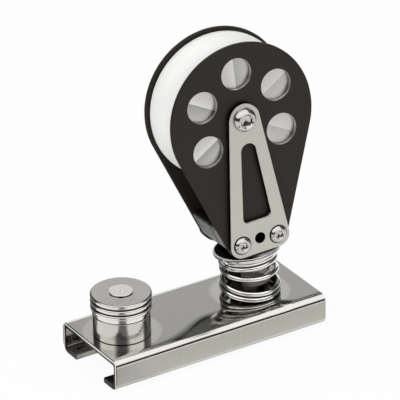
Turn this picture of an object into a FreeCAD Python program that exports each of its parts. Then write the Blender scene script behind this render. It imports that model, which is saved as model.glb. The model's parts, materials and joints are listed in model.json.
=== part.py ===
import FreeCAD, Part
import math
import os
import re
import Sketcher

from FreeCAD import Placement, Rotation, Vector

# Track car with a stand-up block.
# X runs along the track, Y across it and Z up.
# Z is 0 on the face that rides on the track, in the middle of the car.
# All lengths are in millimetres and all angles in degrees.
SIZES = {
    # Folded channel
    "car_length": 92.8,
    "car_width": 39.0,
    "car_height": 12.6,
    "sheet_thickness": 2.0,
    "top_fold_radius": 2.9,
    "lower_fold_radius": 3.6,
    "lip_reach": 9.5,
    # Plunger stop, heights above the top plate
    "plunger_x": -32.1,
    "housing_radius": 11.0,
    "housing_height": 8.7,
    "barrel_radius": 7.2,
    "barrel_wall": 1.6,
    "barrel_top": 14.4,
    "barrel_roof": 1.6,
    "knob_gap": 0.3,
    "knob_top": 16.9,
    "knob_crown": 1.9,
    "knob_skirt_radius": 10.9,
    "ridge_radius": 11.65,
    "ridge_height": 1.7,
    "groove_height": 0.6,
    "ridge_edge_radius": 0.6,
    "pin_radius": 3.2,
    "pin_guide_radius": 3.5,
    "pin_guide_drop": 0.3,
    "pin_reach": 4.2,
    "pin_tip_chamfer": 0.6,
    "pin_collar_radius": 5.0,
    "pin_collar_height": 1.5,
    "pin_shank_radius": 2.5,
    "pin_head_radius": 4.5,
    "pin_head_height": 0.65,
    "pin_head_edge_radius": 0.15,
    "pin_mark_radius": 0.7,
    "pin_mark_depth": 0.3,
    "plunger_wire_radius": 0.45,
    "plunger_coil_radius": 4.0,
    # Universal joint in the foot of the block, measured from its centre
    "pivot_x": 24.8,
    "pivot_height": 8.2,
    "toggle_half_width": 4.5,
    "toggle_half_height": 3.0,
    "joint_pin_radius": 1.8,
    "ear_thickness": 1.8,
    "ear_radius": 2.9,
    "clevis_disc_radius": 8.4,
    "clevis_disc_height": 1.2,
    "pin_rivet_height": 0.3,
    "stem_radius": 8.0,
    "stem_edge_radius": 0.6,
    "fork_foot": 3.4,
    "fork_ceiling": 6.2,
    "stem_shoulder": 9.05,
    "shank_radius": 4.0,
    "thread_radius": 3.2,
    "nut_flats": 9.0,
    "nut_height": 2.7,
    "washer_radius": 13.0,
    "washer_thickness": 1.6,
    "washer_edge_radius": 0.6,
    # Stand-up spring
    "wire_radius": 1.0,
    "coil_radius": 10.4,
    "foot_coil_radius": 10.8,
    "coil_gap": 0.15,
    "end_coil_rise": 0.3,
    "middle_coil_height": 9.3,
    "last_turn_angle": 100,
    # Lean of the block at rest
    "lean_athwart": -6.35,
    "lean_fore_aft": -3.4,
    "block_yaw": -4.65,
    # Block, drops are measured down from the axle
    "cheek_radius": 29.5,
    "cheek_side_angle": 20.3,
    "cheek_corner_radius": 9.3,
    "cheek_thickness": 1.4,
    "cheek_edge_radius": 0.4,
    "window_edge_radius": 0.2,
    "cheek_gap": 19.8,
    "window_pitch_radius": 17.9,
    "window_radius": 6.1,
    "strap_thickness": 2.0,
    "strap_top_radius": 6.4,
    "strap_side_angle": 7.0,
    "strap_foot_margin": 5.1,
    "strap_corner_radius": 4.7,
    "strap_edge_radius": 0.25,
    "slot_top": 12.75,
    "slot_top_radius": 3.1,
    "slot_foot_margin": 4.5,
    "slot_side_angle": 5.9,
    "slot_corner_radius": 2.0,
    "foot_screw_drop": 49.2,
    "foot_screw_spread": 7.6,
    "foot_hole_radius": 2.2,
    "foot_hole_rise": 0.9,
    "foot_screw_radius": 1.9,
    "foot_screw_length": 9.0,
    "foot_head_radius": 3.3,
    "foot_head_height": 1.7,
    "foot_socket_flats": 2.6,
    "ring_radius": 3.7,
    "ring_depth": 0.2,
    "head_cover": 6.9,
    "head_inset": 0.3,
    "head_foot_wall": 1.95,
    "head_seam_shift": 3.8,
    "head_seam_width": 1.2,
    "head_seam_depth": 0.8,
    "head_floor": 2.2,
    "nut_cover": 0.6,
    "head_boss_radius": 7.0,
    "head_boss_height": 0.35,
    "head_edge_radius": 1.4,
    # Wheel and its bearing
    "sheave_radius": 28.2,
    "sheave_side_gap": 0.25,
    "sheave_edge_radius": 1.25,
    "groove_half_width": 6.9,
    "groove_arc_radius": 8.2,
    "sheave_rim_width": 3.0,
    "side_plate_thickness": 0.8,
    "bearing_bore_radius": 12.5,
    "race_radius": 7.0,
    "race_gap": 0.4,
    "axle_radius": 4.5,
    "axle_screw_radius": 2.45,
    "axle_screw_length": 8.0,
    "axle_head_radius": 4.65,
    "axle_head_height": 2.3,
    "axle_socket_flats": 4.2,
    "screw_rim_height": 0.6,
    "screw_crown_share": 0.72,
    "screw_arc_share": 0.9,
    "socket_depth_share": 0.65,
    "socket_mouth_share": 0.65,
    "socket_point_share": 0.12,
    # Broken edges and clearances
    "edge_radius": 0.3,
    "running_gap": 0.06,
    "seat_gap": 0.05,
    "side_gap": 0.1,
    "loose_gap": 0.3,
    "set_gap": 0.02,
}

# Counts
RIDGES = 3
WINDOWS_AT = (-30, 30, 90, 150, 210)
BALLS_PER_ROW = 10
BALL_ROWS = 2
PLUNGER_COILS = 6

doc = FreeCAD.newDocument("track_car")
sheet = doc.addObject("Spreadsheet::Sheet", "sizes")
for row, (word, value) in enumerate(SIZES.items(), start=1):
    sheet.set(f"A{row}", word)
    sheet.set(f"B{row}", str(value))
    sheet.setAlias(f"B{row}", word)
doc.recompute()

nodes = []


# Helpers
def bound(text):
    """An expression in the sheet's words, as other objects read it."""
    return re.sub("[a-z_]+", lambda word: "sizes." + word[0] if word[0] in SIZES else word[0], text)


def size(text):
    """Value of an expression in the sheet's words, as a plain number."""
    result = sheet.evalExpression(text)
    return float(getattr(result, "Value", result))


def new_body(label, place):
    body = doc.addObject("PartDesign::Body", label)
    body.Label = label
    body.Placement = place
    nodes.append(body)
    return body


def new_shape(label, shape, place):
    feature = doc.addObject("Part::Feature", label)
    feature.Label = label
    feature.Shape = shape
    feature.Placement = place
    nodes.append(feature)
    return feature


def origin_part(body, role):
    return next(part for part in body.Origin.OriginFeatures if part.Role == role)


def new_sketch(body, role, offset=None):
    """Sketch on one of the body's origin planes, or a bound distance in front of it."""
    sketch = body.newObject("Sketcher::SketchObject", body.Label + "_sketch")
    sketch.AttachmentSupport = [(origin_part(body, role), "")]
    sketch.MapMode = "FlatFace"
    if offset:
        sketch.setExpression("AttachmentOffset.Base.z", bound(offset))
    return sketch


def add_constraint(sketch, kind, *where, text):
    """Dimension whose value is bound to the sheet."""
    index = sketch.addConstraint(Sketcher.Constraint(kind, *where, size(text)))
    sketch.setExpression(f"Constraints[{index}]", bound(text))


def add_circle(sketch, across, up, radius):
    centre = Vector(size(across), size(up), 0)
    index = sketch.addGeometry(Part.Circle(centre, Vector(0, 0, 1), size(radius)))
    add_constraint(sketch, "DistanceX", -1, 1, index, 3, text=across)
    add_constraint(sketch, "DistanceY", -1, 1, index, 3, text=up)
    add_constraint(sketch, "Radius", index, text=radius)


def arc_between(start, end, radius, turns_left):
    """Arc of less than half a turn from start to end, as a sketch wants it: anticlockwise."""
    if not turns_left:
        start, end = end, start
    half = (end - start) * 0.5
    to_centre = Vector(-half.y, half.x, 0).normalize()
    centre = start + half + to_centre * math.sqrt(max(radius**2 - half.Length**2, 0))
    angles = [math.atan2(point.y - centre.y, point.x - centre.x) for point in (start, end)]
    return Part.ArcOfCircle(Part.Circle(centre, Vector(0, 0, 1), radius), *angles)


def add_outline(sketch, corners):
    """Closed outline.

    A corner is (across, up), or (across, up, radius) where an arc leads to the next corner.
    The arc turns left, or right where the radius starts with "right".
    """
    points = [Vector(size(corner[0]), size(corner[1]), 0) for corner in corners]
    ends = []
    for index, corner in enumerate(corners):
        start, end = points[index], points[(index + 1) % len(points)]
        if len(corner) == 2:
            edge = sketch.addGeometry(Part.LineSegment(start, end))
            ends.append((edge, 1, 2))
            continue
        turns_left = not corner[2].startswith("right")
        radius = corner[2].removeprefix("right ")
        edge = sketch.addGeometry(arc_between(start, end, size(radius), turns_left))
        ends.append((edge, 1, 2) if turns_left else (edge, 2, 1))
        add_constraint(sketch, "Radius", edge, text=radius)
    for index, corner in enumerate(corners):
        edge, first, last = ends[index]
        next_edge, next_first, next_last = ends[(index + 1) % len(ends)]
        sketch.addConstraint(Sketcher.Constraint("Coincident", edge, last, next_edge, next_first))
        add_constraint(sketch, "DistanceX", -1, 1, edge, first, text=corner[0])
        add_constraint(sketch, "DistanceY", -1, 1, edge, first, text=corner[1])


def pad(body, sketch, length):
    """Plate of the given thickness, centred on its sketch."""
    feature = body.newObject("PartDesign::Pad", body.Label + "_pad")
    feature.Profile = sketch
    feature.SideType = "Symmetric"
    feature.setExpression("Length", bound(length))
    return feature


def turn(body, sketch, axis):
    feature = body.newObject("PartDesign::Revolution", body.Label + "_turning")
    feature.Profile = sketch
    feature.ReferenceAxis = (sketch, [axis])
    feature.Angle = 360
    return feature


def pocket(body, sketch, length=None, reverse=False, both=False):
    """Cut against the sketch's normal, or along it, or both ways, right through or to a depth."""
    doc.recompute()
    before = body.Shape.Volume
    feature = body.newObject("PartDesign::Pocket", body.Label + "_pocket")
    feature.Profile = sketch
    feature.Reversed = reverse
    if both:
        feature.SideType = "Symmetric"
    if length:
        feature.setExpression("Length", bound(length))
    else:
        feature.Type = "ThroughAll"
    doc.recompute()
    if body.Shape.Volume >= before:
        raise RuntimeError(f"a pocket in {body.Label} cuts nothing")
    return feature


def round_edges(body, feature, radius, chosen):
    """Fillet on the edges of a feature that the test picks."""
    doc.recompute()
    edges = enumerate(feature.Shape.Edges, start=1)
    names = [f"Edge{number}" for number, edge in edges if chosen(edge)]
    if not names:
        raise RuntimeError(f"no edge of {body.Label} to round")
    fillet = body.newObject("PartDesign::Fillet", body.Label + "_rounding")
    fillet.Base = (feature, names)
    fillet.setExpression("Radius", bound(radius))
    return fillet


def lies_at(value, target):
    return abs(value - target) < 1e-4


def is_ring(edge, radius=None):
    """Whether an edge is a full circle, of this radius if one is given."""
    if not isinstance(edge.Curve, Part.Circle) or len(edge.Vertexes) > 1:
        return False
    return radius is None or lies_at(edge.Curve.Radius, radius)


def hexagon(flats):
    """Corners of a hexagon by its width across flats."""
    reach = f"{flats} / sqrt(3)"
    return [(f"{reach} * cos({60 * k} deg)", f"{reach} * sin({60 * k} deg)") for k in range(6)]


def rectangle(half_width, foot, top):
    """Corners of a rectangle centred across."""
    left = f"0 - {half_width}"
    return [(left, foot), (half_width, foot), (half_width, top), (left, top)]


# Levels that follow from the sizes
FOOT_HOLE_DROP = "(foot_screw_drop - foot_hole_rise)"
NUT_ROOM_HEIGHT = "(nut_height + side_gap)"
CHEEK_FOOT = f"({FOOT_HOLE_DROP} + foot_hole_radius + nut_cover + {NUT_ROOM_HEIGHT} + head_floor)"
STRAP_FOOT = "(foot_screw_drop + strap_foot_margin)"
SLOT_FOOT = "(foot_screw_drop - ring_radius - slot_foot_margin)"
WASHER_TOP = "(stem_shoulder + washer_thickness)"
HEAD_FOOT = f"({WASHER_TOP} + seat_gap + head_boss_height)"
AXLE_HEIGHT = f"({HEAD_FOOT} + {CHEEK_FOOT})"
NUT_FLOOR = f"({HEAD_FOOT} + head_floor)"


# Where the pieces stand
def offset(x=0.0, y=0.0, z=0.0):
    return Placement(Vector(x, y, z), Rotation())


def turned(axis, angle):
    return Placement(Vector(), Rotation(axis, angle))


plate_top = size("sheet_thickness")
ALONG, ACROSS, UPWARD = Vector(1, 0, 0), Vector(0, 1, 0), Vector(0, 0, 1)
car_place = offset()
plunger_place = offset(size("plunger_x"), 0, plate_top)
foot_place = offset(size("pivot_x"), 0, plate_top)
pivot_place = foot_place * offset(z=size("pivot_height"))
toggle_place = pivot_place * turned(ALONG, size("lean_athwart"))
stem_place = toggle_place * turned(ACROSS, size("lean_fore_aft"))
block_place = stem_place * turned(UPWARD, size("block_yaw"))
axle_place = block_place * offset(z=size(AXLE_HEIGHT))


# Folded channel
def make_slider_body():
    body = new_body("slider_body", car_place)
    half, foot = "(car_width / 2)", "(sheet_thickness - car_height)"
    lip = f"({half} - lip_reach)"
    inner_side = f"{half} - sheet_thickness"
    upper_bend, lower_bend = f"{half} - top_fold_radius", f"{half} - lower_fold_radius"
    upper_inside = "top_fold_radius - sheet_thickness"
    lower_inside = "lower_fold_radius - sheet_thickness"
    right_side = [
        (lip, foot),
        (lower_bend, foot, "lower_fold_radius"),
        (half, f"{foot} + lower_fold_radius"),
        (half, "sheet_thickness - top_fold_radius", "top_fold_radius"),
        (upper_bend, "sheet_thickness"),
    ]
    left_side = [
        (f"-({upper_bend})", "sheet_thickness", "top_fold_radius"),
        (f"-{half}", "sheet_thickness - top_fold_radius"),
        (f"-{half}", f"{foot} + lower_fold_radius", "lower_fold_radius"),
        (f"-({lower_bend})", foot),
        (f"-{lip}", foot),
        (f"-{lip}", f"{foot} + sheet_thickness"),
        (f"-({lower_bend})", f"{foot} + sheet_thickness", f"right {lower_inside}"),
        (f"-({inner_side})", f"{foot} + lower_fold_radius"),
        (f"-({inner_side})", "sheet_thickness - top_fold_radius", f"right {upper_inside}"),
        (f"-({upper_bend})", "0"),
    ]
    right_inside = [
        (upper_bend, "0", f"right {upper_inside}"),
        (inner_side, "sheet_thickness - top_fold_radius"),
        (inner_side, f"{foot} + lower_fold_radius", f"right {lower_inside}"),
        (lower_bend, f"{foot} + sheet_thickness"),
        (lip, f"{foot} + sheet_thickness"),
    ]
    section = new_sketch(body, "YZ_Plane")
    add_outline(section, right_side + left_side + right_inside)
    pad(body, section, "car_length")
    pin_hole = new_sketch(body, "XY_Plane")
    add_circle(pin_hole, "plunger_x", "0", "pin_guide_radius + running_gap")
    pocket(body, pin_hole, both=True)


# Plunger stop
def make_plunger_housing():
    body = new_body("plunger_housing", plunger_place)
    bore, guide = "barrel_radius - barrel_wall", "pin_shank_radius + running_gap"
    section = new_sketch(body, "XZ_Plane")
    add_outline(section, [
        (bore, "0"),
        ("housing_radius", "0"),
        ("housing_radius", "housing_height"),
        ("barrel_radius", "housing_height"),
        ("barrel_radius", "barrel_top"),
        (guide, "barrel_top"),
        (guide, "barrel_top - barrel_roof"),
        (bore, "barrel_top - barrel_roof"),
    ])
    turning = turn(body, section, "V_Axis")
    round_edges(body, turning, "edge_radius", lambda edge: is_ring(edge, size("housing_radius"))
                and edge.BoundBox.ZMax > size("housing_height / 2"))


def make_plunger_knob():
    body = new_body("plunger_knob", plunger_place)
    bore, guide = "barrel_radius + loose_gap", "pin_shank_radius + set_gap"
    ceiling = "knob_top - knob_crown"
    outline = [
        (bore, "housing_height + knob_gap"),
        ("knob_skirt_radius", "housing_height + knob_gap"),
    ]
    for ridge in reversed(range(RIDGES)):
        top = f"knob_top - {ridge} * (ridge_height + groove_height)"
        outline += [
            ("knob_skirt_radius", f"{top} - ridge_height"),
            ("ridge_radius", f"{top} - ridge_height"),
            ("ridge_radius", top),
        ]
        if ridge:
            outline.append(("knob_skirt_radius", top))
    outline += [(guide, "knob_top"), (guide, ceiling), (bore, ceiling)]
    section = new_sketch(body, "XZ_Plane")
    add_outline(section, outline)
    turning = turn(body, section, "V_Axis")
    round_edges(body, turning, "ridge_edge_radius", lambda edge: is_ring(edge, size("ridge_radius")))


def make_plunger_pin():
    body = new_body("plunger_pin", plunger_place)
    foot = "(0 - sheet_thickness - pin_reach)"
    crown = "knob_top + pin_head_height"
    section = new_sketch(body, "XZ_Plane")
    add_outline(section, [
        ("0", foot),
        ("pin_radius - pin_tip_chamfer", foot),
        ("pin_radius", f"{foot} + pin_tip_chamfer"),
        ("pin_radius", "0 - sheet_thickness - pin_guide_drop"),
        ("pin_guide_radius", "0 - sheet_thickness - pin_guide_drop"),
        ("pin_guide_radius", "seat_gap"),
        ("pin_collar_radius", "seat_gap"),
        ("pin_collar_radius", "seat_gap + pin_collar_height"),
        ("pin_shank_radius", "seat_gap + pin_collar_height"),
        ("pin_shank_radius", "knob_top"),
        ("pin_head_radius", "knob_top"),
        ("pin_head_radius", crown),
        ("pin_mark_radius", crown),
        ("pin_mark_radius", f"{crown} - pin_mark_depth"),
        ("0", f"{crown} - pin_mark_depth"),
    ])
    turning = turn(body, section, "V_Axis")
    round_edges(body, turning, "pin_head_edge_radius", lambda edge: is_ring(edge, size("pin_head_radius"))
                and edge.BoundBox.ZMax > size("knob_top + pin_head_height / 2"))


# Springs
def coil(points, side, wire_radius, last_turn=180):
    """Round wire through the points, in half turns.

    All points lie in one plane square to side, and the wire crosses that plane square on,
    so each half turn is half a circle and runs smoothly into the next.
    """
    pieces = []
    for index, (start, end) in enumerate(zip(points, points[1:])):
        heading = side * (-1) ** index
        middle = (start + end) * 0.5
        axis = (start - middle).cross(heading).normalize()
        section = Part.Face(Part.Wire(Part.Circle(start, heading, wire_radius).toShape()))
        sweep = last_turn if index == len(points) - 2 else 180
        pieces.append(section.revolve(middle, axis, sweep))
    return pieces[0].multiFuse(pieces[1:])


def make_plunger_spring():
    radius, wire = size("plunger_coil_radius"), size("plunger_wire_radius")
    low = size("seat_gap + pin_collar_height + seat_gap") + wire
    high = size("barrel_top - barrel_roof - seat_gap") - wire
    count = 2 * PLUNGER_COILS
    points = [
        Vector(radius * (-1) ** k, 0, low + (high - low) * k / count)
        for k in range(count + 1)
    ]
    new_shape("plunger_spring", coil(points, ACROSS, wire), plunger_place)


def make_stand_up_spring():
    """Coils that start flat on the plate, bend over with the block and end flat under the washer.

    The coils' own axis is upright near the plate, an arc in the middle, and in line with the
    stem near the washer. Both straight parts point at the joint's centre.
    """
    wire = size("wire_radius")
    lean_axis = stem_place.Rotation.multVec(UPWARD)
    lean = lean_axis.getAngle(UPWARD)
    downhill = Vector(lean_axis.x, lean_axis.y, 0).normalize()
    side = UPWARD.cross(downhill)
    pitch = size("wire_radius * 2 + coil_gap")
    joint_height, top_height = size("pivot_height"), size("stem_shoulder - seat_gap")
    tangent = min(joint_height, top_height) - pitch - wire
    bend_radius = tangent / math.tan(lean / 2)
    bend_start = joint_height - tangent
    bend_end = bend_start + bend_radius * lean
    total = bend_end + top_height - tangent

    def on_axis(length):
        """Point and tilt of the coils' axis at a length along it."""
        if length < bend_start:
            return Vector(0, 0, length), 0.0
        if length > bend_end:
            return Vector(0, 0, joint_height) + lean_axis * (length - bend_end + tangent), lean
        tilt = (length - bend_start) / bend_radius
        sideways, rise = bend_radius * (1 - math.cos(tilt)), bend_radius * math.sin(tilt)
        return downhill * sideways + Vector(0, 0, bend_start + rise), tilt

    rise = size("end_coil_rise")
    foot, top = wire + size("seat_gap"), total - wire
    low = [foot, foot + rise, foot + pitch, foot + rise + pitch]
    high = [top - rise - pitch, top - pitch, top - rise, top]
    middle = size("middle_coil_height")
    lengths = low + [(low[-1] + middle) / 2, middle, (middle + high[0]) / 2] + high
    points = []
    for index, length in enumerate(lengths):
        centre, tilt = on_axis(length)
        radius = size("foot_coil_radius" if index < len(low) else "coil_radius")
        outward = downhill * math.cos(tilt) - UPWARD * math.sin(tilt)
        points.append(centre + outward * radius * (-1) ** index)
    wound = coil(points, side * -1, wire, size("last_turn_angle"))
    new_shape("stand_up_spring", wound, foot_place)


# Universal joint in the foot of the block
def make_base_clevis():
    body = new_body("base_clevis", foot_place)
    ear_inside = "toggle_half_width + side_gap"
    disc = new_sketch(body, "XZ_Plane")
    add_outline(disc, [
        ("0", "0"),
        ("clevis_disc_radius", "0"),
        ("clevis_disc_radius", "clevis_disc_height"),
        ("0", "clevis_disc_height"),
    ])
    turn(body, disc, "V_Axis")
    ears = new_sketch(body, "YZ_Plane")
    add_outline(ears, [
        ("0 - ear_radius", "0"),
        ("ear_radius", "0"),
        ("ear_radius", "pivot_height", "ear_radius"),
        ("0", "pivot_height + ear_radius", "ear_radius"),
        ("0 - ear_radius", "pivot_height"),
    ])
    add_circle(ears, "0", "pivot_height", "joint_pin_radius + set_gap")
    pad(body, ears, f"({ear_inside} + ear_thickness) * 2")
    gap = new_sketch(body, "YZ_Plane")
    add_outline(gap, rectangle("clevis_disc_radius", "clevis_disc_height", "pivot_height + ear_radius * 2"))
    pocket(body, gap, f"({ear_inside}) * 2", both=True)


def make_toggle_block():
    body = new_body("toggle_block", toggle_place)
    height = "toggle_half_height * 2"
    square = new_sketch(body, "XY_Plane")
    add_outline(square, rectangle("toggle_half_width", "0 - toggle_half_width", "toggle_half_width"))
    block = pad(body, square, height)
    round_edges(body, block, "edge_radius", lambda edge: lies_at(edge.BoundBox.ZLength, size(height)))
    for role in ("YZ_Plane", "XZ_Plane"):
        hole = new_sketch(body, role)
        add_circle(hole, "0", "0", "joint_pin_radius + running_gap")
        pocket(body, hole, both=True)


def make_joint_pins():
    toggle_pin = new_body("toggle_pin", pivot_place)
    section = new_sketch(toggle_pin, "YZ_Plane")
    add_circle(section, "0", "0", "joint_pin_radius")
    pad(toggle_pin, section, "(toggle_half_width + side_gap + ear_thickness + pin_rivet_height) * 2")

    fork_pins = new_body("fork_pins", stem_place)
    section = new_sketch(fork_pins, "XZ_Plane")
    add_circle(section, "0", "0", "joint_pin_radius - set_gap")
    pad(fork_pins, section, "sqrt(stem_radius ^ 2 - joint_pin_radius ^ 2) * 2")
    room = new_sketch(fork_pins, "XY_Plane")
    side = "(joint_pin_radius + loose_gap)"
    add_outline(room, rectangle(side, f"0 - {side}", side))
    pocket(fork_pins, room, both=True)


def make_swivel_stem():
    body = new_body("swivel_stem", stem_place)
    section = new_sketch(body, "XZ_Plane")
    add_outline(section, [
        ("0", "0 - fork_foot"),
        ("stem_radius", "0 - fork_foot"),
        ("stem_radius", "stem_shoulder"),
        ("shank_radius", "stem_shoulder"),
        ("shank_radius", NUT_FLOOR),
        ("thread_radius", NUT_FLOOR),
        ("thread_radius", f"{NUT_FLOOR} + nut_height"),
        ("0", f"{NUT_FLOOR} + nut_height"),
    ])
    turning = turn(body, section, "V_Axis")
    round_edges(body, turning, "stem_edge_radius", lambda edge: is_ring(edge, size("stem_radius"))
                and edge.BoundBox.ZMax < 0)
    slot = new_sketch(body, "YZ_Plane")
    add_outline(slot, rectangle("(toggle_half_width + side_gap)", "0 - fork_foot * 2", "fork_ceiling"))
    pocket(body, slot, both=True)
    holes = new_sketch(body, "XZ_Plane")
    add_circle(holes, "0", "0", "joint_pin_radius")
    pocket(body, holes, both=True)


def make_spring_washer():
    body = new_body("spring_washer", stem_place)
    section = new_sketch(body, "XZ_Plane")
    bore = "shank_radius + running_gap"
    add_outline(section, [
        (bore, "stem_shoulder"),
        ("washer_radius", "stem_shoulder"),
        ("washer_radius", WASHER_TOP),
        (bore, WASHER_TOP),
    ])
    turning = turn(body, section, "V_Axis")
    round_edges(body, turning, "washer_edge_radius", lambda edge: is_ring(edge, size("washer_radius")))


def make_stem_nut():
    middle = size(f"{NUT_FLOOR} + nut_height / 2 + seat_gap")
    body = new_body("stem_nut", stem_place * offset(z=middle))
    section = new_sketch(body, "XY_Plane")
    add_outline(section, hexagon("nut_flats"))
    add_circle(section, "0", "0", "thread_radius + set_gap")
    pad(body, section, "nut_height - seat_gap")


# Block
def foot_holes(sketch, radius):
    """Two screw holes at the foot and the cross hole between them."""
    for side in ("0 - foot_screw_spread", "foot_screw_spread"):
        add_circle(sketch, side, "0 - foot_screw_drop", radius)
    add_circle(sketch, "0", f"0 - {FOOT_HOLE_DROP}", "foot_hole_radius")


def cheek_side(height):
    """Half the width of the head block at a height from the axle, a little inside the cheeks' straight sides."""
    across = f"(cheek_radius + {height} * sin(cheek_side_angle * 1 deg)) / cos(cheek_side_angle * 1 deg)"
    return f"({across} - head_inset)"


def make_head_block():
    body = new_body("head_block", axle_place)
    foot, nut_floor = f"(0 - {CHEEK_FOOT})", f"(head_floor - {CHEEK_FOOT})"
    top = "(foot_screw_radius + head_cover - foot_screw_drop)"
    shoulder = f"(cheek_corner_radius * (1 - sin(cheek_side_angle * 1 deg)) - {CHEEK_FOOT})"
    nut_room = "(nut_flats / sqrt(3) + loose_gap)"
    foot_side = f"({nut_room} + head_foot_wall)"
    shoulder_side, top_side = cheek_side(shoulder), cheek_side(top)
    section = new_sketch(body, "XZ_Plane")
    add_outline(section, [
        (f"0 - {foot_side}", foot),
        (foot_side, foot),
        (shoulder_side, shoulder),
        (top_side, top),
        (f"0 - {top_side}", top),
        (f"0 - {shoulder_side}", shoulder),
    ])
    add_outline(section, rectangle(nut_room, nut_floor, f"({nut_floor} + {NUT_ROOM_HEIGHT})"))
    foot_holes(section, "foot_screw_radius + set_gap")
    block = pad(body, section, "cheek_gap")
    round_edges(body, block, "head_edge_radius", lambda edge: isinstance(edge.Curve, Part.Line)
                and lies_at(abs(edge.CenterOfMass.x), size(top_side)))
    seam = new_sketch(body, "XZ_Plane", "head_seam_shift")
    for side in ("", "0 - "):
        corners = [(foot_side, foot), (shoulder_side, shoulder), (top_side, top)]
        inner = [(f"{side}({across} - head_seam_depth)", up) for across, up in corners]
        add_outline(seam, inner + [(f"{side}cheek_radius", top), (f"{side}cheek_radius", foot)])
    pocket(body, seam, "head_seam_width", both=True)
    boss = new_sketch(body, "XZ_Plane")
    boss_foot = f"({foot} - head_boss_height)"
    add_outline(boss, [
        ("0", boss_foot),
        ("head_boss_radius", boss_foot),
        ("head_boss_radius", nut_floor),
        ("0", nut_floor),
    ])
    turn(body, boss, "V_Axis")
    bore = new_sketch(body, "XY_Plane", boss_foot)
    add_circle(bore, "0", "0", "shank_radius + running_gap")
    pocket(body, bore, "head_boss_height + head_floor + seat_gap", reverse=True)


def tangent_outline(radius, angle, foot, corner, top="0"):
    """Round top that runs into straight sides and a foot with two round corners.

    The sides draw in by the angle on the way down. Foot and top are how far the foot and the
    centre of the round top lie below the axle.
    """
    sine, cosine = f"sin({angle} * 1 deg)", f"cos({angle} * 1 deg)"
    foot_side = f"(({radius} - ({foot} - {top} - {corner}) * {sine} - {corner}) / {cosine})"
    side_x, side_z = f"({foot_side} + {corner} * {cosine})", f"({corner} - {foot} - {corner} * {sine})"
    return [
        (f"{radius} * {cosine}", f"0 - {top} - {radius} * {sine}", radius),
        ("0", f"{radius} - {top}", radius),
        (f"0 - {radius} * {cosine}", f"0 - {top} - {radius} * {sine}"),
        (f"0 - {side_x}", side_z, corner),
        (f"0 - {foot_side}", f"0 - {foot}"),
        (foot_side, f"0 - {foot}", corner),
        (side_x, side_z),
    ]


def make_cheek(label, side):
    shift = size("(cheek_gap + cheek_thickness) / 2") * side
    body = new_body(label, axle_place * offset(y=shift))
    section = new_sketch(body, "XZ_Plane")
    add_outline(section, tangent_outline("cheek_radius", "cheek_side_angle", CHEEK_FOOT,
                                         "cheek_corner_radius"))
    add_circle(section, "0", "0", "axle_radius + set_gap")
    for angle in WINDOWS_AT:
        across, up = f"window_pitch_radius * cos({angle} deg)", f"window_pitch_radius * sin({angle} deg)"
        add_circle(section, across, up, "window_radius")
    foot_holes(section, "foot_screw_radius + set_gap")
    plate = pad(body, section, "cheek_thickness")
    rounding = round_edges(body, plate, "cheek_edge_radius", lambda edge: lies_at(edge.BoundBox.YLength, 0)
                           and not is_ring(edge))
    round_edges(body, rounding, "window_edge_radius", lambda edge: edge.CenterOfMass.y * side > 0
                and is_ring(edge, size("window_radius")))


def make_strap(label, side):
    shift = size("cheek_gap / 2 + cheek_thickness + strap_thickness / 2") * side
    facing = turned(UPWARD, 180) if side > 0 else Placement()
    body = new_body(label, axle_place * offset(y=shift) * facing)
    section = new_sketch(body, "XZ_Plane")
    add_outline(section, tangent_outline("strap_top_radius", "(0 - strap_side_angle)", STRAP_FOOT,
                                         "strap_corner_radius"))
    add_outline(section, tangent_outline("slot_top_radius", "(0 - slot_side_angle)", SLOT_FOOT,
                                         "slot_corner_radius", "slot_top"))
    add_circle(section, "0", "0", "axle_screw_radius + set_gap")
    foot_holes(section, "foot_screw_radius + set_gap")
    plate = pad(body, section, "strap_thickness")
    round_edges(body, plate, "strap_edge_radius", lambda edge: lies_at(edge.BoundBox.YLength, 0)
                and edge.CenterOfMass.y < 0 and not is_ring(edge))
    rings = new_sketch(body, "XZ_Plane", "strap_thickness / 2 - ring_depth")
    for across in ("0 - foot_screw_spread", "foot_screw_spread"):
        add_circle(rings, across, "0 - foot_screw_drop", "ring_radius")
    pocket(body, rings, reverse=True)


# Wheel and bearing
SIDE_PLATE_RADIUS = "(sheave_radius - sheave_rim_width)"


def make_sheave():
    body = new_body("sheave", axle_place)
    side = "(cheek_gap / 2 - sheave_side_gap)"
    recess = f"({side} - side_plate_thickness)"
    seat = f"{SIDE_PLATE_RADIUS} + seat_gap"
    section = new_sketch(body, "YZ_Plane")
    add_outline(section, [
        (f"0 - {recess}", "bearing_bore_radius"),
        (recess, "bearing_bore_radius"),
        (recess, seat),
        (side, seat),
        (side, "sheave_radius - sheave_edge_radius", "sheave_edge_radius"),
        (f"{side} - sheave_edge_radius", "sheave_radius"),
        ("groove_half_width", "sheave_radius", "right groove_arc_radius"),
        ("0 - groove_half_width", "sheave_radius"),
        (f"sheave_edge_radius - {side}", "sheave_radius", "sheave_edge_radius"),
        (f"0 - {side}", "sheave_radius - sheave_edge_radius"),
        (f"0 - {side}", seat),
        (f"0 - {recess}", seat),
    ])
    turn(body, section, "H_Axis")


def make_side_plate(label, side):
    shift = size("cheek_gap / 2 - sheave_side_gap - side_plate_thickness / 2") * side
    body = new_body(label, axle_place * offset(y=shift))
    section = new_sketch(body, "XZ_Plane")
    add_circle(section, "0", "0", SIDE_PLATE_RADIUS)
    add_circle(section, "0", "0", "race_radius + race_gap")
    pad(body, section, "side_plate_thickness")


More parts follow.
